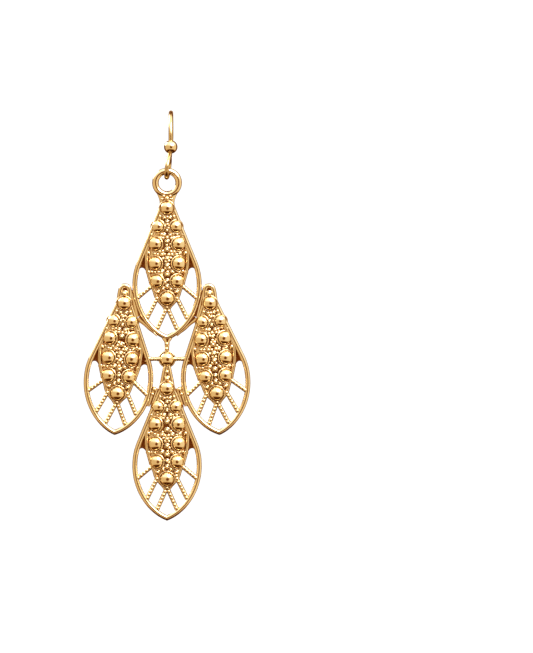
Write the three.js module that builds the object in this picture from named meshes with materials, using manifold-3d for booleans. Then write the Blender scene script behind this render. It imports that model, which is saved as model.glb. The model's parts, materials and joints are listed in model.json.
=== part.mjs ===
// Chandelier earring: a fish-hook ear wire with a bead on it, and a cast drop of four
// filigree leaves round a small middle bead. The ring at the head of the drop hangs in
// the eye of the ear wire.
//
// Millimetres, +Z up. The face of the drop looks along -Y, and the wearer's neck is at +Y.
// The origin is the inside of the hook's arch, which is the point that rests in the ear.

import * as THREE from 'three';
import { mergeVertices } from 'three/addons/utils/BufferGeometryUtils.js';
import Module from 'manifold-3d';

const wasm = await Module();
wasm.setup();

// ---- Driving dimensions ----------------------------------------------------------------

// Ear wire and its bead
const wireDiameter = 0.86;
const archInnerRadius = 4.2;
const beadDiameter = 2.58;
const beadDepth = 6.2; // centre of the bead below the inside of the arch
const beadClearance = 0.12;
const eyeInnerRadius = 1.45;
const eyeDepth = 11.58; // lowest point inside the eye, below the inside of the arch
const eyeSideways = 0.7; // the wire leans sideways from the bead down, by this much at the eye
const eyeTwist = THREE.MathUtils.degToRad(5);
const backLegDepth = 8.6; // end of the back leg below the inside of the arch
const backLegFlare = 0.9;

// Drop
const ringWire = 1.28;
const ringOuterDiameter = 5.7;
const hangingGap = 0.15; // between the ring and the eye that carries it
const castThickness = 1.0; // plates and rims, front to back

// Leaf: sizes across and up from its pointed tip
const leafLength = 28.9;
const leafHalfWidth = 6.65;
const leafWidest = 10.4;
const rimWidth = 0.9;
const headHalfWidth = 1.4; // of the leaf's round head
const webBottom = 14.0; // the recessed web closes the leaf's openings above this height
const strutDiameter = 0.72;

// Placing of the leaves, down from the swing axis
const topLeafTip = 32.15;
const sideLeafTip = 50.15;
const sideLeafOffset = 10.0;
const sideLeafTilt = THREE.MathUtils.degToRad(4.2);
const bottomLeafTip = 66.45;
const middleBeadDrop = 35.75;
const middleBeadDiameter = 2.66;

// The raised domes of a leaf: height of each row, distance of its domes from the middle
// line (0 is a single dome) and their diameter
const domeRows = [
  { height: 25.1, aside: 0, diameter: 2.3 },
  { height: 21.6, aside: 1.85, diameter: 2.1 },
  { height: 18.3, aside: 2.3, diameter: 2.3 },
  { height: 14.6, aside: 2.35, diameter: 2.35 },
  { height: 11.2, aside: 2.0, diameter: 2.35 },
  { height: 7.9, aside: 0, diameter: 2.4 },
];

// The beaded bars that fan out from the panel's foot to the rim, on one side of the leaf
const struts = [
  { fromAside: 3.0, fromHeight: 10.2, toAside: 5.75, toHeight: 7.95 },
  { fromAside: 1.8, fromHeight: 8.2, toAside: 3.85, toHeight: 4.1 },
  { fromAside: 0.2, fromHeight: 5.9, toAside: 1.9, toHeight: 2.1 },
];

// ---- Sizes that follow -----------------------------------------------------------------

const wireRadius = wireDiameter / 2;
const archRadius = archInnerRadius + wireRadius;
const eyeRadius = eyeInnerRadius + wireRadius;
const eyeCentreDepth = eyeDepth - eyeInnerRadius;
const wireLean = Math.atan(eyeSideways / (eyeDepth - beadDepth));
const ringRadius = (ringOuterDiameter - ringWire) / 2;
const ringHoleRadius = ringRadius - ringWire / 2;
const swingAxisDepth = eyeDepth - hangingGap - ringWire / 2;

const backFace = castThickness / 2;
const panelThickness = 0.9;
const webThickness = 0.5;
const armThickness = 0.8;
const domeBase = backFace - panelThickness; // the panel's front face
const domeSink = 0.3; // how far a dome goes into the panel
const domeFoot = 0.1; // upright foot of a dome in front of the panel

// ---- Solids ----------------------------------------------------------------------------

function solid(geometry) {
  geometry.deleteAttribute('normal');
  geometry.deleteAttribute('uv');
  const merged = mergeVertices(geometry, 1e-5);
  return new wasm.Manifold(new wasm.Mesh({
    numProp: 3,
    vertProperties: merged.attributes.position.array,
    triVerts: merged.index.array,
  }));
}

function union(solids) {
  return solids.reduce((whole, piece) => whole.add(piece));
}

function geometryOf(manifold) {
  const mesh = manifold.getMesh();
  const geometry = new THREE.BufferGeometry();
  geometry.setAttribute('position', new THREE.BufferAttribute(mesh.vertProperties, 3));
  geometry.setIndex(new THREE.BufferAttribute(mesh.triVerts, 1));
  geometry.computeVertexNormals();
  return geometry;
}

// A wire of round section along a curve.
function wireAlong(curve, radius, steps, sides) {
  const section = new THREE.Shape().absarc(0, 0, radius, 0, 2 * Math.PI);
  return new THREE.ExtrudeGeometry(section, { steps, extrudePath: curve, curveSegments: sides / 2 });
}

// A flat casting with rounded edges, its back on the common back face. The outline is drawn
// across (x) and up (y); it is stood up so that up is +Z and its front looks along -Y.
function plate(outline, { holes = [], thickness = castThickness, rounding = 0.12 } = {}) {
  const shape = new THREE.Shape(outline);
  shape.holes = holes.map((hole) => new THREE.Path(hole));
  const geometry = new THREE.ExtrudeGeometry(shape, {
    depth: thickness - 2 * rounding,
    bevelThickness: rounding,
    bevelSize: rounding,
    bevelOffset: -rounding,
    bevelSegments: 1,
  });
  geometry.rotateX(Math.PI / 2);
  geometry.translate(0, backFace - rounding, 0);
  return solid(geometry);
}

// ---- Ear wire --------------------------------------------------------------------------

// Points on an arc in the plane of the hook: y is front to back, z is up.
function arcInHook(centreY, centreZ, radius, fromDegrees, toDegrees, count) {
  return Array.from({ length: count + 1 }, (_, i) => {
    const angle = THREE.MathUtils.degToRad(fromDegrees + ((toDegrees - fromDegrees) * i) / count);
    return new THREE.Vector3(0, centreY + radius * Math.cos(angle), centreZ + radius * Math.sin(angle));
  });
}

// The wire runs from the tip of the back leg over the arch, down through the bead and round
// the eye, and stops just short of itself.
function earWireCurve() {
  const archCentreZ = wireRadius - archRadius;
  const neckZ = -beadDepth - beadDiameter / 2 - 0.1; // where the straight leg ends, under the bead
  const neckHeight = neckZ + eyeCentreDepth; // above the middle of the eye
  const tangentAngle = THREE.MathUtils.radToDeg(Math.acos(eyeRadius / neckHeight));
  const endGap = 0.15;

  const backLeg = [
    new THREE.Vector3(0, archRadius + backLegFlare, -backLegDepth),
    new THREE.Vector3(0, archRadius + 0.35 * backLegFlare, -backLegDepth + 2),
  ];
  const arch = arcInHook(0, archCentreZ, archRadius, 0, 180, 10);
  const frontLeg = [
    new THREE.Vector3(0, -archRadius, -beadDepth),
    new THREE.Vector3(0, -archRadius, neckZ),
  ];
  const eye = arcInHook(-archRadius, -eyeCentreDepth, eyeRadius, 90 + tangentAngle, 450 - tangentAngle, 12);

  // The eye closes towards the leg, as far as leaves a hair's gap between them.
  const last = eye[eye.length - 1];
  const closing = new THREE.Vector3(0, -archRadius, neckZ).sub(last).normalize();
  const reach = last.y + archRadius - wireRadius * (1 + closing.z) - endGap;
  const end = last.clone().addScaledVector(closing, reach / -closing.y);

  const points = [...backLeg, ...arch, ...frontLeg, ...eye, end];
  for (const point of points.filter(({ y, z }) => y < 0 && z < -beadDepth)) {
    const lean = Math.tan(wireLean) * (point.z + beadDepth);
    const twist = Math.tan(eyeTwist) * (point.y + archRadius);
    point.x = lean + twist;
  }
  return new THREE.CatmullRomCurve3(points, false, 'centripetal');
}

function makeEarHook() {
  const curve = earWireCurve();
  const wire = solid(wireAlong(curve, wireRadius, 60, 10));
  const roundTip = new THREE.SphereGeometry(wireRadius, 10, 6);
  roundTip.translate(...curve.getPoint(0).toArray());
  return geometryOf(wire.add(solid(roundTip)));
}

// A ball bored through along its upright axis.
function makeHookBall() {
  const radius = beadDiameter / 2;
  const boreRadius = wireRadius + beadClearance;
  const boreAngle = Math.asin(boreRadius / radius);
  const steps = 10;
  const profile = Array.from({ length: steps + 1 }, (_, i) => {
    const angle = boreAngle + ((Math.PI - 2 * boreAngle) * i) / steps;
    return new THREE.Vector2(radius * Math.sin(angle), -radius * Math.cos(angle));
  });
  profile.push(profile[0].clone());
  const geometry = new THREE.LatheGeometry(profile, 20);
  geometry.rotateX(Math.PI / 2);
  return geometry;
}

// ---- Leaf ------------------------------------------------------------------------------

function mirrored(half) {
  const otherSide = half
    .slice(1, -1)
    .reverse()
    .map((point) => new THREE.Vector2(-point.x, point.y));
  return [...half, ...otherSide];
}

// The right half of the leaf's outline, from the tip to the head, both on the middle line.
function leafHalfOutline() {
  const headHeight = leafLength - headHalfWidth;
  const outline = new THREE.Path();
  outline.moveTo(0, 0);
  outline.bezierCurveTo(3.6, 1.3, leafHalfWidth, 5.6, leafHalfWidth, leafWidest);
  outline.bezierCurveTo(leafHalfWidth, leafWidest + 2.2, 6.2, 14.0, 5.45, 15.7);
  outline.lineTo(headHalfWidth + 0.1, headHeight - 2);
  outline.lineTo(headHalfWidth, headHeight - 0.4);
  outline.quadraticCurveTo(headHalfWidth, leafLength, 0, leafLength);
  return outline.getPoints(6);
}

// The same half outline, moved inwards by a distance; ends stay on the middle line.
function inset(half, distance) {
  const moved = half.map((point, i) => {
    const before = i > 0 ? half[i - 1] : new THREE.Vector2(-half[1].x, half[1].y);
    const after = i < half.length - 1 ? half[i + 1] : new THREE.Vector2(-half[i - 1].x, half[i - 1].y);
    const arriving = point.clone().sub(before).normalize();
    const leaving = after.clone().sub(point).normalize();
    const normal = new THREE.Vector2(-arriving.y - leaving.y, arriving.x + leaving.x).normalize();
    const mitre = 1 / Math.sqrt((1 + arriving.dot(leaving)) / 2);
    return point.clone().addScaledVector(normal, distance * mitre);
  });
  moved[0].x = 0;
  moved[moved.length - 1].x = 0;
  return moved;
}

// The spearhead panel that carries the domes: a short stem at its foot, a round belly, and
// above that the line of the leaf itself.
function panelHalfOutline() {
  const outline = new THREE.Path();
  outline.moveTo(0, 5.2);
  outline.lineTo(0.5, 5.3);
  outline.bezierCurveTo(0.7, 6.8, 2.3, 6.9, 2.75, 9.2);
  outline.bezierCurveTo(3.5, 11.0, 4.1, 12.6, 4.3, 15.2);
  outline.lineTo(4.35, 16.6);
  outline.lineTo(0.9, 25.6);
  outline.lineTo(0.9, leafLength - rimWidth);
  outline.lineTo(0, leafLength - rimWidth / 2);
  return outline.getPoints(4);
}

// A round-topped dome whose foot is sunk in the panel.
function dome(aside, height, diameter) {
  const radius = diameter / 2;
  const steps = 3;
  const profile = [new THREE.Vector2(0, -domeSink), new THREE.Vector2(radius, -domeSink)];
  for (let i = 0; i < steps; i += 1) {
    const angle = (Math.PI / 2) * (i / steps);
    profile.push(new THREE.Vector2(radius * Math.cos(angle), domeFoot + radius * Math.sin(angle)));
  }
  profile.push(new THREE.Vector2(0, domeFoot + radius));
  const geometry = new THREE.LatheGeometry(profile, 12);
  geometry.rotateX(Math.PI);
  geometry.translate(aside, domeBase, height);
  return solid(geometry);
}

// A bar between two points of the face, in the middle of the casting's thickness.
function bar(from, to, diameter) {
  const line = new THREE.LineCurve3(
    new THREE.Vector3(from.x, 0, from.y),
    new THREE.Vector3(to.x, 0, to.y),
  );
  return solid(wireAlong(line, diameter / 2, 1, 6));
}

// The recessed web between panel and rim, in the upper part of the leaf.
function webHalfOutline(leafHalf) {
  const upper = inset(leafHalf, rimWidth / 2).filter((point) => point.y > webBottom);
  const foot = new THREE.Vector2(0, webBottom);
  const corner = new THREE.Vector2(upper[0].x + rimWidth / 3, webBottom);
  return [foot, corner, ...upper];
}

function makeLeaf() {
  const outer = leafHalfOutline();
  const inner = inset(outer, rimWidth);
  const rim = plate(mirrored(outer), { holes: [mirrored(inner)], rounding: 0.25 });
  const panel = plate(mirrored(panelHalfOutline()), { thickness: panelThickness });
  const web = plate(mirrored(webHalfOutline(outer)), { thickness: webThickness, rounding: 0.05 });

  const domes = domeRows.flatMap(({ height, aside, diameter }) => {
    if (aside === 0) return [dome(0, height, diameter)];
    return [dome(-aside, height, diameter), dome(aside, height, diameter)];
  });
  const bars = struts.flatMap(({ fromAside, fromHeight, toAside, toHeight }) => [-1, 1].map((side) => bar(
    new THREE.Vector2(side * fromAside, fromHeight),
    new THREE.Vector2(side * toAside, toHeight),
    strutDiameter,
  )));
  return union([rim, panel, web, ...domes, ...bars]);
}

// ---- Drop ------------------------------------------------------------------------------

// A copy of the leaf with its tip at a point below the swing axis, leaning by an angle.
function placedLeaf(leaf, tipAside, tipDrop, lean) {
  return solid(leaf.clone().rotateY(lean).translate(tipAside, 0, -tipDrop));
}

// Everything inside the top leaf's outline, where no neighbour may show through.
function topLeafRoom() {
  const inside = plate(mirrored(inset(leafHalfOutline(), rimWidth / 2)), { thickness: 8, rounding: 0.1 });
  return solid(geometryOf(inside).translate(0, 4, -topLeafTip));
}

function makeRing() {
  const ring = new THREE.TorusGeometry(ringRadius, ringWire / 2, 10, 28);
  ring.rotateX(Math.PI / 2);
  ring.translate(0, 0, -ringRadius);
  return solid(ring);
}

// The neck that widens, with hollow sides, into the ring.
function neckHalfOutline() {
  const outline = new THREE.Path();
  outline.moveTo(0, -ringRadius - 4);
  outline.lineTo(headHalfWidth, -ringRadius - 4);
  outline.quadraticCurveTo(headHalfWidth, -ringRadius - 2.9, ringRadius, -ringRadius - 1.7);
  outline.lineTo(0, -ringRadius - 1.7);
  return outline.getPoints(3);
}

function ringHole() {
  const hole = new THREE.CylinderGeometry(ringHoleRadius, ringHoleRadius, 4 * castThickness, 32);
  hole.translate(0, 0, -ringRadius);
  return solid(hole);
}

// The middle bead and its four arms: up to the top leaf's tip, out to the side leaves and
// down, widening, to the head of the bottom leaf.
function middleLink() {
  const bead = dome(0, -middleBeadDrop, middleBeadDiameter);
  const arms = [
    { halfWidth: 0.42, top: -topLeafTip + 0.4, footHalfWidth: 0.42, foot: -middleBeadDrop },
    { halfWidth: 3.6, top: -middleBeadDrop + 0.42, footHalfWidth: 3.6, foot: -middleBeadDrop - 0.42 },
    { halfWidth: 0.7, top: -middleBeadDrop, footHalfWidth: 1.6, foot: -middleBeadDrop - 4.8 },
  ];
  const plates = arms.map(({ halfWidth, top, footHalfWidth, foot }) => plate([
    new THREE.Vector2(-footHalfWidth, foot),
    new THREE.Vector2(footHalfWidth, foot),
    new THREE.Vector2(halfWidth, top),
    new THREE.Vector2(-halfWidth, top),
  ], { thickness: armThickness }));
  return union([bead, ...plates]);
}

// Small webs that fill the corners where the rims of two leaves meet. Each is outlined by
// its corners on the right of the drop: aside from the middle line, and up from the axis.
const topToSideWeb = [[7.2, -21.7], [6.2, -22.6], [5.7, -26.6], [4.6, -28.1], [1.9, -30.6], [1.2, -31.7],
  [3.4, -30.4], [4.8, -29.3], [6.6, -25.5]];
const sideToBottomWeb = [[1.2, -40.2], [2.9, -40.2], [3.6, -43.4], [5.0, -46.9], [4.7, -47.5], [3.9, -47.5],
  [2.2, -43.6]];

function joiningWebs() {
  return [topToSideWeb, sideToBottomWeb].flatMap((corners) => [-1, 1].map((side) => {
    const outline = corners.map(([aside, up]) => new THREE.Vector2(side * aside, up));
    return plate(outline, { thickness: webThickness + 0.2 });
  }));
}

function makeFiligreeDrop() {
  const leaf = geometryOf(makeLeaf());
  const neck = plate(mirrored(neckHalfOutline()));
  const topLeaf = placedLeaf(leaf, 0, topLeafTip, 0).add(neck).subtract(ringHole());
  const sides = union([
    placedLeaf(leaf, -sideLeafOffset, sideLeafTip, sideLeafTilt),
    placedLeaf(leaf, sideLeafOffset, sideLeafTip, -sideLeafTilt),
    ...joiningWebs(),
  ]).subtract(topLeafRoom());
  const bottomLeaf = placedLeaf(leaf, 0, bottomLeafTip, 0);
  return geometryOf(union([topLeaf, sides, bottomLeaf, makeRing(), middleLink()]));
}

// ---- Assembly --------------------------------------------------------------------------

function goldPlate(roughness) {
  return new THREE.MeshStandardMaterial({ color: 0xd9a441, metalness: 1, roughness });
}

function part(name, geometry, material) {
  const mesh = new THREE.Mesh(geometry, material);
  mesh.name = name;
  return mesh;
}

const earHook = part('ear_hook', makeEarHook(), goldPlate(0.18));

const hookBall = part('hook_ball', makeHookBall(), goldPlate(0.12));
hookBall.position.set(0, -archRadius, -beadDepth);
hookBall.rotation.y = wireLean / 2; // halfway between the wire above it and below it

const filigreeDrop = part('filigree_drop', makeFiligreeDrop(), goldPlate(0.22));
filigreeDrop.position.set(-eyeSideways, -archRadius, -swingAxisDepth);

const group = new THREE.Group();
group.add(earHook, hookBall, filigreeDrop);

export default group;
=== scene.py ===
"""Looks of the chandelier earring: polished gold plate on a cast, beaded filigree drop.

Shapes are drawn in millimetres, with x across, y front to back and z up, from a point of the
CAD's frame: the swing axis for the drop, the origin for the wire, and its own centre for the
ball. The scale comes from the height of the drop in the CAD.
"""

import json
import math
import random

import bmesh
import bpy
from mathutils import Matrix, Vector


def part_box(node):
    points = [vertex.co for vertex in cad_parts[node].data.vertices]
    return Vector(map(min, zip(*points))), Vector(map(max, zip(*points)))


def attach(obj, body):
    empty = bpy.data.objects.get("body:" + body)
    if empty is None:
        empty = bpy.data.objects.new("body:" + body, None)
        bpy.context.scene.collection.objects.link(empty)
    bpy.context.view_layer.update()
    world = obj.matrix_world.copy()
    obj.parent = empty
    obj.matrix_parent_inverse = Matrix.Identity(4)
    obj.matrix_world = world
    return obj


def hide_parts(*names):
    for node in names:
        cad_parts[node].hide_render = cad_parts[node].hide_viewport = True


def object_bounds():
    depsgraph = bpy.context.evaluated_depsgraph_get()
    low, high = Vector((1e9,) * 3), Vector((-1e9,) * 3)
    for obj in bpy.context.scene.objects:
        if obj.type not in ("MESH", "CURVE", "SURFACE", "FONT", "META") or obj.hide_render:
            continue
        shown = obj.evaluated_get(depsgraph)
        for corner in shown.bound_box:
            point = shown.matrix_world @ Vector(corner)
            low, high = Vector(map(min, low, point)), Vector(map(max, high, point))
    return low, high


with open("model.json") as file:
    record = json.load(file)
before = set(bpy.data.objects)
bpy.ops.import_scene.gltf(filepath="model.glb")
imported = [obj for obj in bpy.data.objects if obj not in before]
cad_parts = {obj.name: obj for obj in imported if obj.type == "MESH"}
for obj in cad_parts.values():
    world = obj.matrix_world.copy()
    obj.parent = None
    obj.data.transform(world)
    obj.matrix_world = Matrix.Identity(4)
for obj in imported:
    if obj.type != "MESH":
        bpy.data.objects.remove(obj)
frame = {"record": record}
cad_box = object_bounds()

# ---- The frame ---------------------------------------------------------------------------

DROP_LOW, DROP_HIGH = (Vector(corner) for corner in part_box("filigree_drop"))
BALL_LOW, BALL_HIGH = (Vector(corner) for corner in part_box("hook_ball"))
BALL_CENTRE = (BALL_LOW + BALL_HIGH) / 2
WIRE_LOW, WIRE_HIGH = (Vector(corner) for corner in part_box("ear_hook"))
SWING = next(j for j in frame["record"]["behaviour"]["joints"] if j["name"] == "drop_swing")
PIVOT = Vector(SWING["pos_m"])

DROP_HEIGHT = 67.09  # of the whole drop, ring included, in the millimetres used below
MM = (DROP_HIGH.z - DROP_LOW.z) / DROP_HEIGHT

# ---- Driving sizes, in millimetres ---------------------------------------------------------

CAST_BACK = 0.48  # the casting's flat back
RIM_WIDTH = 0.96
RIM_DEPTH = 0.98

LEAF_LENGTH = 28.9
LEAF_HALF_WIDTH = 6.6
LEAF_WIDEST = 10.4
HEAD_HALF_WIDTH = 1.38
BORDER_FRONT = -0.42  # the smooth rounded border of a panel
BORDER_WIDTH = 0.72
GROUND_CREST = -0.36  # the beaded ground inside that border, at its middle line
GROUND_FALL = 0.035  # how fast it falls away to the sides
WEB_BOTTOM = 13.3
WEB_ARCH = 1.2  # how far the lower edge of the web curves up between panel and rim
WEB_FRONT = 0.2
WEB_TOP = 1.2  # how far below the top of the leaf's head the web ends

WIRE_RADIUS = 0.43
ARCH_RADIUS = 4.63
EYE_RADIUS = 1.88
EYE_ASIDE = 0.7  # how far the eye's foot is to the left of the ball
EYE_TWIST = math.radians(5)
NECK_BELOW_BALL = 1.39  # where the front leg bends off into the eye
END_GAP = 0.15  # from the wire's end to the front leg, if the leg went on straight down
BORE_CLEARANCE = 0.03  # between the wire and the ball, all round

# aside, behind the arch, below its crown: the end of the back leg and a point further up
BACK_LEG = (
    (-0.36, 0.9, 9.03),
    (-0.16, 0.32, 7.03),
)

RING_RADIUS = 2.21
RING_WIRE = 1.26
RING_NECK_TOP = 1.75  # below the middle of the ring
RING_NECK_LENGTH = 2.4
RING_NECK_FLARE = 0.78  # how much wider than a leaf's head the neck starts, on each side
RING_NECK_DEPTH = 1.0

TOP_TIP = 32.15  # this and the next two are below the swing axis
MIDDLE_DROP = 35.75
BOTTOM_TIP = 66.42

MIDDLE_BEAD = 2.6
SIDE_ARM_REACH = 4.2  # from the middle line
LOWER_ARM_REACH = 4.8  # below the middle bead

# widths of the middle bead's arms, each from its upper or outer end
UPPER_ARM = (2.0, 0.95, 0.8, 1.0, 1.9)
SIDE_ARM = (1.9, 0.8, 0.72, 1.0, 1.7)
LOWER_ARM = (1.8, 1.3, 1.5, 1.8, 2.0)

# The top leaf's head stops short under the ring; the bottom leaf's runs up to the middle bead.
# name, tip aside, tip below the swing axis, lean in degrees, length, half width of the head
LEAVES = (
    ("leaf_top", 0.0, TOP_TIP, 0.0, 27.5, HEAD_HALF_WIDTH),
    ("leaf_left", -10.0, 50.15, 4.2, LEAF_LENGTH, HEAD_HALF_WIDTH),
    ("leaf_right", 10.0, 50.15, -4.2, LEAF_LENGTH, HEAD_HALF_WIDTH),
    ("leaf_bottom", 0.0, BOTTOM_TIP, 0.0, 30.0, 0.74),
)

DOME_SQUASH = 0.72
DOME_LEAN = 8.0  # degrees outward for each millimetre from the middle line

# height above the leaf's tip, aside, diameter
DOMES = (
    (25.1, 0.0, 2.5),
    (21.6, 1.76, 2.25),
    (18.3, 2.25, 2.55),
    (14.6, 2.28, 2.58),
    (11.2, 1.98, 2.5),
    (7.9, 0.0, 2.6),
)

# height, aside, diameter of the grains between the domes
GRAINS = (
    (26.95, 0.0, 0.95),
    (23.55, 1.3, 0.62),
    (23.3, 0.5, 0.66),
    (22.5, 0.0, 0.6),
    (21.7, 0.45, 0.6),
    (20.9, 0.0, 0.66),
    (20.1, 3.0, 0.78),
    (20.0, 0.62, 0.66),
    (19.4, 1.25, 0.55),
    (18.75, 0.0, 0.8),
    (17.2, 0.0, 0.84),
    (16.6, 3.5, 0.85),
    (16.45, 2.35, 0.62),
    (16.3, 0.95, 0.74),
    (15.5, 0.0, 0.8),
    (14.15, 0.0, 0.84),
    (13.0, 3.5, 0.82),
    (12.95, 2.3, 0.62),
    (13.0, 1.0, 0.76),
    (12.5, 0.0, 0.8),
    (11.3, 0.0, 0.7),
    (10.2, 0.0, 0.8),
    (9.75, 0.75, 0.66),
    (9.2, 1.8, 0.72),
    (6.25, 0.0, 0.5),
)

# from aside, from height, to aside, to height: the beaded bars on one side of a leaf
BARS = (
    (3.0, 10.25, 5.75, 7.95),
    (1.75, 8.3, 3.85, 4.1),
    (0.2, 5.9, 1.9, 2.1),
)
BAR_HALF_WIDTH = 0.42
BAR_BEAD = 0.36
BAR_PITCH = 0.7

# The fine grains, packed in rows between the others
FINE_PITCH = 0.74
FINE_ROW_STEP = 0.87  # from row to row, in pitches
FINE_LOW = 6.6
FINE_HIGH = 26.2
FINE_JITTER = 0.12
FINE_SMALLEST = 0.34
FINE_LARGEST = 0.46
FINE_SINK = 0.16

# aside, up from the swing axis, diameter of the grains on the ring's neck
NECK_GRAINS = (
    (0.0, -5.15, 0.72),
    (0.62, -4.75, 0.6),
    (0.95, -5.3, 0.52),
)

# aside, below the middle bead, diameter of the grains on its arms
MIDDLE_GRAINS = (
    (0.0, -2.9, 0.72),
    (0.0, -2.0, 0.66),
    (2.2, -0.1, 0.52),
    (2.9, -0.05, 0.5),
    (0.0, 2.4, 0.8),
    (0.0, 3.5, 0.7),
    (2.35, 5.7, 0.8),
    (2.75, 6.6, 0.6),
)

# aside, up from the swing axis, where each bridge between two rims starts and ends; its two widths
BRIDGES = (
    (6.7, -22.6, 5.2, -27.6, 1.1, 1.8),
    (5.2, -27.6, 1.9, -31.3, 1.8, 0.3),
    (2.95, -40.9, 3.6, -44.7, 1.6, 0.6),
    (2.1, -41.2, 3.2, -44.4, 1.2, 1.2),
)


# ---- Shape building ------------------------------------------------------------------------

class Shape:
    """Closed forms gathered into one mesh: points in millimetres, and faces."""

    def __init__(self):
        self.points = []
        self.faces = []

    def add(self, points, faces):
        start = len(self.points)
        self.points.extend(points)
        self.faces.extend(tuple(start + corner for corner in face) for face in faces)

    def skin(self, rows, loop=False):
        """Faces between closed rows of equally many points; the first and last row are capped."""
        count = len(rows[0])
        faces = []
        last = len(rows) if loop else len(rows) - 1
        for r in range(last):
            here = r * count
            there = ((r + 1) % len(rows)) * count
            for c in range(count):
                d = (c + 1) % count
                faces.append((here + c, here + d, there + d, there + c))
        if not loop:
            faces.append(tuple(reversed(range(count))))
            faces.append(tuple(range((len(rows) - 1) * count, len(rows) * count)))
        self.add([point for row in rows for point in row], faces)

    def merge(self, other, matrix):
        self.add([matrix @ point for point in other.points], other.faces)

    def mesh_object(self, name, material, origin=PIVOT):
        mesh = bpy.data.meshes.new(name)
        mesh.from_pydata([origin + MM * point for point in self.points], [], self.faces)
        outward = bmesh.new()
        outward.from_mesh(mesh)
        bmesh.ops.recalc_face_normals(outward, faces=outward.faces)
        outward.to_mesh(mesh)
        outward.free()
        mesh.shade_smooth()
        mesh.set_sharp_from_angle(angle=math.radians(55))
        mesh.materials.append(material)
        piece = bpy.data.objects.new(name, mesh)
        bpy.context.scene.collection.objects.link(piece)
        return piece


def circle(count):
    return [2 * math.pi * i / count for i in range(count)]


def turned(shape, centre, profile, sides):
    """A form turned about the front-to-back line through centre: profile is radius and depth."""
    rows = [
        [centre + Vector((radius * math.cos(a), depth, radius * math.sin(a))) for a in circle(sides)]
        for radius, depth in profile
    ]
    shape.skin(rows)


def ball(shape, centre, radius, sides=12, rings=8):
    """A ball whose poles face front and back."""
    profile = []
    for i in range(rings + 1):
        angle = math.pi * i / rings
        profile.append((max(radius * math.sin(angle), radius * 0.02), -radius * math.cos(angle)))
    turned(shape, centre, profile, sides)


def tube(shape, path, radius, sides=12, loop=False):
    """A round tube along a path."""
    rows = []
    side = None
    for i, point in enumerate(path):
        before = path[i - 1] if i or loop else point
        after = path[(i + 1) % len(path)] if i + 1 < len(path) or loop else point
        along = (after - before).normalized()
        if side is None:
            side = along.orthogonal().normalized()
        side = (side - along * side.dot(along)).normalized()
        up = along.cross(side)
        rows.append([point + radius * (math.cos(a) * side + math.sin(a) * up) for a in circle(sides)])
    shape.skin(rows, loop=loop)


# ---- Outlines ------------------------------------------------------------------------------

def bezier(a, b, c, d, count):
    """Points along a cubic curve, without its last one."""
    out = []
    for i in range(count):
        t = i / count
        s = 1 - t
        out.append(Vector((
            s**3 * a[0] + 3 * s * s * t * b[0] + 3 * s * t * t * c[0] + t**3 * d[0],
            s**3 * a[1] + 3 * s * s * t * b[1] + 3 * s * t * t * c[1] + t**3 * d[1],
        )))
    return out


def leaf_half_outline(length, head_half):
    """The right half of a leaf's outline, from the tip to the head."""
    head = length - head_half
    half, widest = LEAF_HALF_WIDTH, LEAF_WIDEST
    shoulder = (HEAD_HALF_WIDTH + 0.1, LEAF_LENGTH - HEAD_HALF_WIDTH - 2)
    line_start = (5.42, 15.7)
    points = bezier((0, 0), (3.6, 1.3), (half, 5.6), (half, widest), 26)
    points += bezier((half, widest), (half, widest + 2.2), (6.15, 14.0), line_start, 14)
    points += bezier(line_start, (4.1, 19.0), (2.7, 22.4), shoulder, 14)
    points += bezier(shoulder, (head_half, head), (head_half, length), (0, length), 14)
    points.append(Vector((0, length)))
    return points


def mirrored(half):
    return half + [Vector((-p.x, p.y)) for p in reversed(half[1:-1])]


def half_width_at(half, height):
    """How far from the middle line a half outline is at a height."""
    for low, high in zip(half, half[1:]):
        if low.y <= height <= high.y and high.y > low.y:
            return low.x + (high.x - low.x) * (height - low.y) / (high.y - low.y)
    return 0.0


def panel_half_outline(length):
    """The spearhead panel: a stem, a round belly, and the line of the leaf above it."""
    top = length - RIM_WIDTH / 2
    points = bezier((0.5, 5.3), (0.7, 6.8), (2.3, 6.9), (2.75, 9.2), 12)
    points += bezier((2.75, 9.2), (3.5, 11.0), (4.1, 12.6), (4.3, 15.2), 14)
    points += bezier((4.3, 15.2), (4.4, 16.6), (4.25, 17.0), (3.95, 17.7), 6)
    points += bezier((3.95, 17.7), (3.1, 20.0), (2.0, 22.6), (0.95, 25.3), 14)
    points += bezier((0.95, 25.3), (1.0, 25.9), (0.95, top - 0.6), (0.8, top), 6)
    points.append(Vector((0.8, top)))
    return points


# ---- Leaf ----------------------------------------------------------------------------------

def add_rim(shape, half):
    """A rounded band just inside the outline, mitred at the tip."""
    outline = mirrored(half)
    rows = []
    for i, point in enumerate(outline):
        before, after = outline[i - 1], outline[(i + 1) % len(outline)]
        arriving = (point - before).normalized()
        leaving = (after - point).normalized()
        inward = Vector((-arriving.y - leaving.y, arriving.x + leaving.x)).normalized()
        mitre = 1 / math.sqrt((1 + arriving.dot(leaving)) / 2)
        row = []
        for a in circle(16):
            across = RIM_WIDTH / 2 * (1 - math.cos(a))
            deep = RIM_DEPTH / 2 * math.sin(a)
            place = point + inward * across * mitre
            row.append(Vector((place.x, deep, place.y)))
        rows.append(row)
    shape.skin(rows, loop=True)


def ground_depth(aside):
    """The ground is a low ridge along the leaf's middle line."""
    return GROUND_CREST + GROUND_FALL * aside * aside


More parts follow.
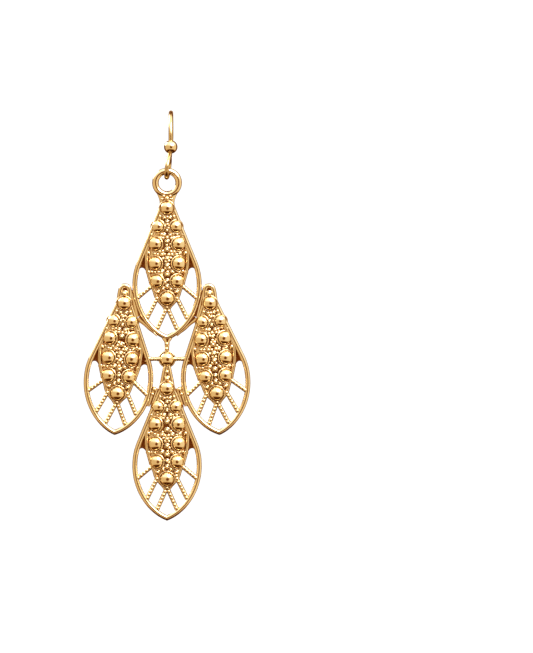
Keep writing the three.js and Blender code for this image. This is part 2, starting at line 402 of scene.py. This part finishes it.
def add_panel(shape, half):
    """A flat-backed plate with a rounded border and, inside it, the ridged ground."""
    steps = 8
    ground_steps = 6
    border = [BORDER_WIDTH * (1 - math.cos(math.pi * k / steps)) / 2 for k in range(steps)]
    rows = []
    for point in half:
        right = []
        for k, inside in enumerate(border):
            x = point.x - min(inside, point.x * k / 20)
            bulge = math.sin(math.pi * k / steps) ** 0.7
            foot = CAST_BACK - 0.2 if k < steps / 2 else ground_depth(x) + 0.1
            right.append(Vector((x, foot + (BORDER_FRONT - foot) * bulge, point.y)))
        inner = point.x - min(BORDER_WIDTH, point.x * 0.4)
        for k in range(ground_steps):
            x = inner * (1 - k / ground_steps)
            right.append(Vector((x, ground_depth(x), point.y)))
        left = [Vector((-p.x, p.y, p.z)) for p in reversed(right)]
        crest = [Vector((0, ground_depth(0), point.y))]
        back = [Vector((-point.x, CAST_BACK, point.y)), Vector((point.x, CAST_BACK, point.y))]
        rows.append(right + crest + left + back)
    shape.skin(rows)


def add_web(shape, half, panel, length):
    """The recessed sheet closing the tops of the openings between panel and rim, arched below."""
    inner = half_width_at(panel, WEB_BOTTOM) - 0.3
    outer = half_width_at(half, WEB_BOTTOM) - RIM_WIDTH / 2
    edge = [Vector((0, WEB_BOTTOM - WEB_ARCH))]
    for i in range(13):
        t = i / 12
        rise = WEB_ARCH * (0.4 - abs(2 * t - 1) ** 2.2)
        edge.append(Vector((inner + (outer - inner) * t, WEB_BOTTOM + rise)))
    for i in range(1, 20):
        height = WEB_BOTTOM + (length - WEB_TOP - WEB_BOTTOM) * i / 19
        edge.append(Vector((half_width_at(half, height) - RIM_WIDTH / 2, height)))
    outline = edge + [Vector((-p.x, p.y)) for p in reversed(edge[1:])]
    shape.skin([
        [Vector((p.x, depth, p.y)) for p in outline] for depth in (WEB_FRONT, CAST_BACK - 0.03)
    ])


def add_dome(shape, aside, height, diameter, foot):
    """A low ball set in a thin raised collar with a crevice between them, leaning outward with the ground."""
    radius = diameter / 2
    collar = radius + 0.17
    profile = [
        (collar + 0.16, 0.12),
        (collar + 0.15, -0.02),
        (collar + 0.09, -0.13),
        (collar, -0.17),
        (collar - 0.09, -0.12),
        (radius + 0.02, 0.1),
    ]
    for i in range(13):
        angle = math.pi / 2 * i / 12
        profile.append((max(radius * math.cos(angle), 0.01), -0.1 - DOME_SQUASH * radius * math.sin(angle)))
    dome = Shape()
    turned(dome, Vector((0, 0, 0)), profile, 32)
    lean = Matrix.Rotation(math.radians(DOME_LEAN * aside), 4, "Z")
    shape.merge(dome, Matrix.Translation((aside, foot, height)) @ lean)


def add_beaded_bar(shape, start, end):
    along = end - start
    tube(shape, [start, end], BAR_HALF_WIDTH)
    count = round(along.length / BAR_PITCH)
    raised = Vector((0, -0.17, 0))
    for i in range(count):
        ball(shape, start + raised + along * ((i + 0.5) / count), BAR_BEAD, sides=10)


def add_grain(shape, aside, height, radius):
    """A grain in a low collar of its own."""
    profile = [(radius + 0.16, 0.2), (radius + 0.13, -0.04), (radius + 0.05, -0.08), (radius - 0.01, 0.02)]
    for i in range(7):
        angle = math.pi / 2 * i / 6
        profile.append((max(radius * math.cos(angle), 0.01), -0.08 - radius * math.sin(angle)))
    turned(shape, Vector((aside, ground_depth(aside), height)), profile, 16)


def on_ground(x, height, panel, keep_off):
    """Whether a point lies on the panel's ground, clear of the circles in keep_off."""
    if abs(x) > half_width_at(panel, height) - BORDER_WIDTH - 0.1:
        return False
    return all(math.hypot(x - cx, height - cz) > reach for cx, cz, reach in keep_off)


def add_grains(shape, panel, draw):
    """Large grains in their places, then fine ones packed between them and the domes."""
    taken = []
    for height, aside, diameter in DOMES:
        taken += [(side * aside, height, diameter / 2 + 0.32) for side in (-1, 1)]
    for height, aside, diameter in GRAINS:
        for side in ((-1, 1) if aside else (1,)):
            add_grain(shape, side * aside, height, diameter / 2)
            taken.append((side * aside, height, diameter / 2 + 0.1))
    rows = round((FINE_HIGH - FINE_LOW) / (FINE_PITCH * FINE_ROW_STEP))
    for row in range(rows):
        for column in range(-6, 7):
            x = (column + row % 2 / 2) * FINE_PITCH + draw.uniform(-FINE_JITTER, FINE_JITTER)
            z = FINE_LOW + row * FINE_PITCH * FINE_ROW_STEP + draw.uniform(-FINE_JITTER, FINE_JITTER)
            radius = draw.uniform(FINE_SMALLEST, FINE_LARGEST)
            if on_ground(x, z, panel, taken):
                depth = min(ground_depth(x) + FINE_SINK, CAST_BACK - 0.05 - radius)
                ball(shape, Vector((x, depth, z)), radius)


def make_leaf(length, head_half, draw):
    shape = Shape()
    half = leaf_half_outline(length, head_half)
    panel_length = min(length, LEAF_LENGTH)
    panel = panel_half_outline(panel_length)
    add_rim(shape, half)
    add_web(shape, half, panel, panel_length)
    add_panel(shape, panel)
    for height, aside, diameter in DOMES:
        for side in ((-1, 1) if aside else (1,)):
            add_dome(shape, side * aside, height, diameter, ground_depth(aside))
    for from_aside, from_height, to_aside, to_height in BARS:
        for side in (-1, 1):
            start = Vector((side * from_aside, 0, from_height))
            end = Vector((side * to_aside, 0, to_height))
            add_beaded_bar(shape, start, end)
    add_grains(shape, panel, draw)
    return shape


def leaf_pieces(gold):
    pieces = []
    for seed, (name, aside, down, lean, length, head_half) in enumerate(LEAVES):
        placed = Shape()
        leaf = make_leaf(length, head_half, random.Random(seed))
        turn = Matrix.Rotation(math.radians(lean), 4, "Y")
        placed.merge(leaf, Matrix.Translation((aside, 0, -down)) @ turn)
        pieces.append(placed.mesh_object(name, gold))
    return pieces


# ---- Ring, neck and middle bead --------------------------------------------------------------

def ring_piece(gold):
    shape = Shape()
    centre = Vector((0, 0, -RING_RADIUS))
    path = [centre + RING_RADIUS * Vector((math.cos(a), 0, math.sin(a))) for a in circle(64)]
    tube(shape, path, RING_WIRE / 2, sides=24, loop=True)
    rows = []
    for i in range(13):
        t = i / 12
        height = -RING_RADIUS - RING_NECK_TOP - RING_NECK_LENGTH * t
        half = HEAD_HALF_WIDTH + RING_NECK_FLARE * (1 - t) ** 2
        deep = RING_NECK_DEPTH / 2
        rows.append([Vector((half * math.cos(a), deep * math.sin(a), height)) for a in circle(20)])
    shape.skin(rows)
    for aside, height, diameter in NECK_GRAINS:
        for side in ((-1, 1) if aside else (1,)):
            ball(shape, Vector((side * aside, -0.45, height)), diameter / 2)
    return shape.mesh_object("hanging_ring", gold)


def flared_bar(shape, start, end, widths, depth):
    """A flat-oval bar of the leaf plane whose width follows a short list along its length."""
    along = (end - start).normalized()
    across = Vector((-along.z, 0, along.x))
    rows = []
    steps_each = 6
    steps = steps_each * (len(widths) - 1)
    for i in range(steps + 1):
        part = i / steps_each
        k = min(int(part), len(widths) - 2)
        ease = (1 - math.cos(math.pi * (part - k))) / 2
        half = (widths[k] + (widths[k + 1] - widths[k]) * ease) / 2
        centre = start.lerp(end, i / steps)
        rows.append([
            centre + half * math.cos(a) * across + Vector((0, depth / 2 * math.sin(a), 0)) for a in circle(16)
        ])
    shape.skin(rows)


def middle_piece(gold):
    shape = Shape()
    bead = Vector((0, 0, -MIDDLE_DROP))
    add_dome(shape, 0, -MIDDLE_DROP, MIDDLE_BEAD, foot=-0.1)
    flared_bar(shape, Vector((0, 0, 0.5 - TOP_TIP)), bead, UPPER_ARM, depth=0.86)
    for side in (-1, 1):
        outer_end = Vector((side * SIDE_ARM_REACH, 0, 0.1 - MIDDLE_DROP))
        flared_bar(shape, outer_end, bead, SIDE_ARM, depth=0.8)
    flared_bar(shape, bead, Vector((0, 0, -MIDDLE_DROP - LOWER_ARM_REACH)), LOWER_ARM, depth=0.86)
    for aside, below, diameter in MIDDLE_GRAINS:
        for side in ((-1, 1) if aside else (1,)):
            place = Vector((side * aside, -0.36, -MIDDLE_DROP - below))
            ball(shape, place, diameter / 2)
    return shape.mesh_object("middle_link", gold)


def bridges_piece(gold):
    """Rounded fillets of cast metal between the rims of neighbouring leaves."""
    shape = Shape()
    for from_aside, from_up, to_aside, to_up, start_width, end_width in BRIDGES:
        for side in (-1, 1):
            flared_bar(
                shape,
                Vector((side * from_aside, 0.04, from_up)),
                Vector((side * to_aside, 0.04, to_up)),
                (start_width, (start_width + end_width) / 2, end_width),
                0.8,
            )
    return shape.mesh_object("joining_bridges", gold)


# ---- Ear wire and ball -----------------------------------------------------------------------

def ear_wire_path():
    """The wire's middle line, from the tip of the back leg round the arch to the end of the eye."""
    crown = WIRE_HIGH.z / MM - WIRE_RADIUS
    ball_height = BALL_CENTRE.z / MM
    eye = Vector((-ARCH_RADIUS, WIRE_LOW.z / MM + WIRE_RADIUS + EYE_RADIUS))
    neck = Vector((-ARCH_RADIUS, ball_height - NECK_BELOW_BALL))
    tangent = math.acos(EYE_RADIUS / (neck.y - eye.y))

    path = [Vector((aside, ARCH_RADIUS + behind, crown - below)) for aside, behind, below in BACK_LEG]
    for i in range(33):
        angle = math.pi * i / 32
        height = crown - ARCH_RADIUS + ARCH_RADIUS * math.sin(angle)
        path.append(Vector((0, ARCH_RADIUS * math.cos(angle), height)))

    turns = [math.pi / 2 + tangent + (2 * math.pi - 2 * tangent) * i / 36 for i in range(37)]
    loop = [eye + EYE_RADIUS * Vector((math.cos(turn), math.sin(turn))) for turn in turns]
    bend = bezier((-ARCH_RADIUS, ball_height), neck, neck, loop[0], 14)
    closing = (neck - loop[-1]).normalized()
    reach = loop[-1].x + ARCH_RADIUS - WIRE_RADIUS * (1 + closing.y) - END_GAP
    stop = loop[-1] + closing * (reach / -closing.x)
    lean = EYE_ASIDE / (ball_height - eye.y + EYE_RADIUS - WIRE_RADIUS)
    for y, z in bend + loop + [stop]:
        aside = lean * (z - ball_height) + math.tan(EYE_TWIST) * (y + ARCH_RADIUS)
        path.append(Vector((aside, y, z)))
    return path


def ear_wire_piece(gold):
    shape = Shape()
    path = ear_wire_path()
    tube(shape, path, WIRE_RADIUS, sides=24)
    ball(shape, path[0], WIRE_RADIUS, sides=24, rings=12)
    return shape.mesh_object("ear_wire", gold, origin=Vector((0, 0, 0)))


def wire_ball_piece(gold):
    """A ball bored along its upright axis."""
    shape = Shape()
    radius = (BALL_HIGH.y - BALL_LOW.y) / 2 / MM
    start = math.asin((WIRE_RADIUS + BORE_CLEARANCE) / radius)
    rows = []
    for i in range(33):
        angle = start + (math.pi - 2 * start) * i / 32
        reach = radius * math.sin(angle)
        height = radius * math.cos(angle)
        rows.append([Vector((reach * math.cos(a), reach * math.sin(a), height)) for a in circle(48)])
    shape.skin(rows, loop=True)
    return shape.mesh_object("wire_ball", gold, origin=BALL_CENTRE)


# ---- Materials -------------------------------------------------------------------------------

def fade(tree, value, start, end, first, last, smooth=False):
    """A value that goes from first to last while the given one goes from start to end."""
    step = tree.nodes.new("ShaderNodeMapRange")
    step.interpolation_type = "SMOOTHSTEP" if smooth else "LINEAR"
    step.inputs["From Min"].default_value = start
    step.inputs["From Max"].default_value = end
    step.inputs["To Min"].default_value = first
    step.inputs["To Max"].default_value = last
    tree.links.new(value, step.inputs["Value"])
    return step.outputs["Result"]


def noise(tree, scale, detail):
    place = tree.nodes.new("ShaderNodeTexCoord")
    pattern = tree.nodes.new("ShaderNodeTexNoise")
    pattern.inputs["Scale"].default_value = scale
    pattern.inputs["Detail"].default_value = detail
    tree.links.new(place.outputs["Object"], pattern.inputs["Vector"])
    return pattern.outputs["Fac"]


def color_mix(tree, factor, blend="MIX"):
    mix = tree.nodes.new("ShaderNodeMix")
    mix.data_type = "RGBA"
    mix.blend_type = blend
    tree.links.new(factor, mix.inputs["Factor"])
    return mix


def gold_plate(name, light, deep, roughness, grain, bump):
    """Polished gold plate, with painted shade: deep orange-brown where ambient occlusion finds the casting
    close, paler where it is open.
    """
    material = bpy.data.materials.new(name)
    material.use_nodes = True
    tree = material.node_tree
    shader = tree.nodes["Principled BSDF"]
    shader.inputs["Metallic"].default_value = 1.0

    # Painted shade: ambient occlusion blends the colour towards the deep orange-brown in crevices and between
    # close parts.
    crevice = tree.nodes.new("ShaderNodeAmbientOcclusion")
    crevice.samples = 8
    crevice.inputs["Distance"].default_value = 0.8 * MM
    painted_shade_tone = color_mix(tree, fade(tree, crevice.outputs["AO"], 0.28, 0.82, 0.0, 1.0))
    painted_shade_tone.inputs["A"].default_value = (*deep, 1)
    painted_shade_tone.inputs["B"].default_value = (*light, 1)

    mottle = noise(tree, grain, 4.0)
    patches = color_mix(tree, fade(tree, mottle, 0.45, 0.75, 0.0, 0.5), "MULTIPLY")
    patches.inputs["B"].default_value = (0.9, 0.84, 0.74, 1)
    tree.links.new(painted_shade_tone.outputs["Result"], patches.inputs["A"])
    tree.links.new(patches.outputs["Result"], shader.inputs["Base Color"])

    worn = fade(tree, mottle, 0.0, 1.0, roughness * 0.7, roughness * 1.4)
    tree.links.new(worn, shader.inputs["Roughness"])

    relief = tree.nodes.new("ShaderNodeBump")
    relief.inputs["Strength"].default_value = bump
    relief.inputs["Distance"].default_value = 0.05 * MM
    tree.links.new(noise(tree, grain * 1.7, 2.0), relief.inputs["Height"])
    tree.links.new(relief.outputs["Normal"], shader.inputs["Normal"])
    return material


# name, colour where open, colour where close (the painted shade), roughness, grain per metre, strength of the
# bump
FINISHES = (
    ("cast_gold", (1.0, 0.81, 0.48), (0.45, 0.17, 0.015), 0.13, 900.0, 0.2),
    # The wire's gold is painted darker than the cast's, and the ball's a little: painted shade that tones
    # down their bright reflections.
    ("wire_gold", (0.8, 0.6, 0.31), (0.6, 0.32, 0.09), 0.2, 500.0, 0.3),
    ("ball_gold", (0.95, 0.77, 0.46), (0.8, 0.5, 0.2), 0.07, 300.0, 0.1),
)


def floor_material():
    material = bpy.data.materials.new("pale_floor")
    material.use_nodes = True
    tree = material.node_tree
    shader = tree.nodes["Principled BSDF"]
    shader.inputs["Roughness"].default_value = 0.9
    tree.links.new(fade(tree, noise(tree, 40.0, 2.0), 0.0, 1.0, 0.975, 0.995), shader.inputs["Base Color"])
    return material


# towards, where the change starts and ends on the way there, brightness before and after it
WORLD = (
    ((0, 0, 1), -0.8, -0.5, 0.02, 0.8),
    ((0, 0, 1), 0.2, 0.75, 1.0, 1.95),
    ((1, 0, 0.4), -0.7, 0.7, 0.9, 1.1),
    ((0, 1, 0), 0.1, 0.65, 1.0, 0.08),
    ((0, 1, 0), 0.8, 0.97, 1.0, 8.0),
    ((0.12, -1, -0.05), 0.9, 0.985, 1.0, 0.18),
)

# half the brightness, and the warm light that the surroundings then send
WARMTH = (
    (0.0, (0.04, 0.01, 0.002)),
    (0.08, (0.16, 0.035, 0.002)),
    (0.21, (0.42, 0.18, 0.018)),
    (0.4, (0.84, 0.66, 0.42)),
    (0.55, (1.1, 1.05, 0.95)),
    (1.0, (2.0, 2.0, 2.0)),
)


# ---- Stage -----------------------------------------------------------------------------------

def make_floor():
    """A pale floor well below the drop, which doesn't show in the polished metal."""
    clearance = 0.02
    side = 4.0
    z = cad_box[0][2] - clearance
    mesh = bpy.data.meshes.new("floor")
    corners = [(-side, -side, z), (side, -side, z), (side, side, z), (-side, side, z)]
    mesh.from_pydata(corners, [], [(0, 1, 2, 3)])
    mesh.materials.append(floor_material())
    floor = bpy.data.objects.new("floor", mesh)
    bpy.context.scene.collection.objects.link(floor)
    floor.visible_glossy = False


def make_world():
    """What the metal mirrors: a tent lit from above and open to the dark below and behind.

    It is bright again straight behind the drop, where its flat back looks.
    """
    world = bpy.data.worlds.new("studio")
    bpy.context.scene.world = world
    world.use_nodes = True
    tree = world.node_tree
    direction = tree.nodes.new("ShaderNodeTexCoord")

    level = None
    for towards, start, end, first, last in WORLD:
        facing = tree.nodes.new("ShaderNodeVectorMath")
        facing.operation = "DOT_PRODUCT"
        facing.inputs[1].default_value = Vector(towards).normalized()
        tree.links.new(direction.outputs["Generated"], facing.inputs[0])
        factor = fade(tree, facing.outputs["Value"], start, end, first, last, smooth=True)
        product = tree.nodes.new("ShaderNodeMath")
        product.operation = "MULTIPLY"
        product.inputs[1].default_value = 0.5
        tree.links.new(factor, product.inputs[0])
        if level:
            tree.links.new(level, product.inputs[1])
        level = product.outputs["Value"]

    warmth = tree.nodes.new("ShaderNodeValToRGB")
    stops = warmth.color_ramp.elements
    while len(stops) < len(WARMTH):
        stops.new(0.5)
    for stop, (position, color) in zip(stops, WARMTH):
        stop.position = position
        stop.color = (*color, 1)
    tree.links.new(level, warmth.inputs["Fac"])

    rays = tree.nodes.new("ShaderNodeLightPath")
    seen = color_mix(tree, rays.outputs["Is Glossy Ray"])
    seen.inputs["A"].default_value = (1.1, 1.1, 1.1, 1)
    tree.links.new(warmth.outputs["Color"], seen.inputs["B"])
    tree.links.new(seen.outputs["Result"], tree.nodes["Background"].inputs["Color"])


def add_softbox(name, place, size, power, target):
    light = bpy.data.lights.new(name, "AREA")
    light.shape = "DISK"
    light.size = size
    light.energy = power
    lamp = bpy.data.objects.new(name, light)
    lamp.location = place
    lamp.rotation_euler = (target - Vector(place)).to_track_quat("-Z", "Y").to_euler()
    bpy.context.scene.collection.objects.link(lamp)


def make_lights():
    target = (DROP_LOW + DROP_HIGH) / 2
    add_softbox("key", target + Vector((0.18, -0.28, 0.32)), size=0.36, power=2.0, target=target)
    add_softbox("rim", target + Vector((-0.3, 0.2, 0.25)), size=0.25, power=1.0, target=target)


def make_camera():
    """A long lens, level, looking straight at the face of the drop, with room for its twin beside it."""
    low, high = (Vector(corner) for corner in cad_box)
    height = high.z - low.z
    middle = (low + high) / 2
    view_height = 1.589 * height
    to_the_right = 0.242 * height
    below_middle = 0.027 * height
    distance = 2.0
    camera = bpy.data.cameras.new("camera")
    camera.sensor_fit = "VERTICAL"
    camera.sensor_height = 36.0
    camera.lens = camera.sensor_height * distance / view_height
    camera.clip_start = 0.01
    rig = bpy.data.objects.new("camera", camera)
    rig.location = (middle.x + to_the_right, PIVOT.y - distance, middle.z - below_middle)
    rig.rotation_euler = (math.pi / 2, 0, 0)
    bpy.context.scene.collection.objects.link(rig)
    bpy.context.scene.camera = rig


# ---- Assembly ----------------------------------------------------------------------------------

def main():
    drop_gold, wire_gold, ball_gold = [gold_plate(*finish) for finish in FINISHES]

    drop = [*leaf_pieces(drop_gold), ring_piece(drop_gold), middle_piece(drop_gold), bridges_piece(drop_gold)]
    for piece in drop:
        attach(piece, "drop")
        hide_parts("filigree_drop")

    for piece, node, slot in (
        (ear_wire_piece(wire_gold), "ear_hook", "wire_gold"),
        (wire_ball_piece(ball_gold), "hook_ball", "ball_gold"),
    ):
        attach(piece, "hook")
        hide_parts(node)

    make_floor()
    make_world()
    make_lights()
    make_camera()
    bpy.context.scene.view_settings.view_transform = "Standard"


main()
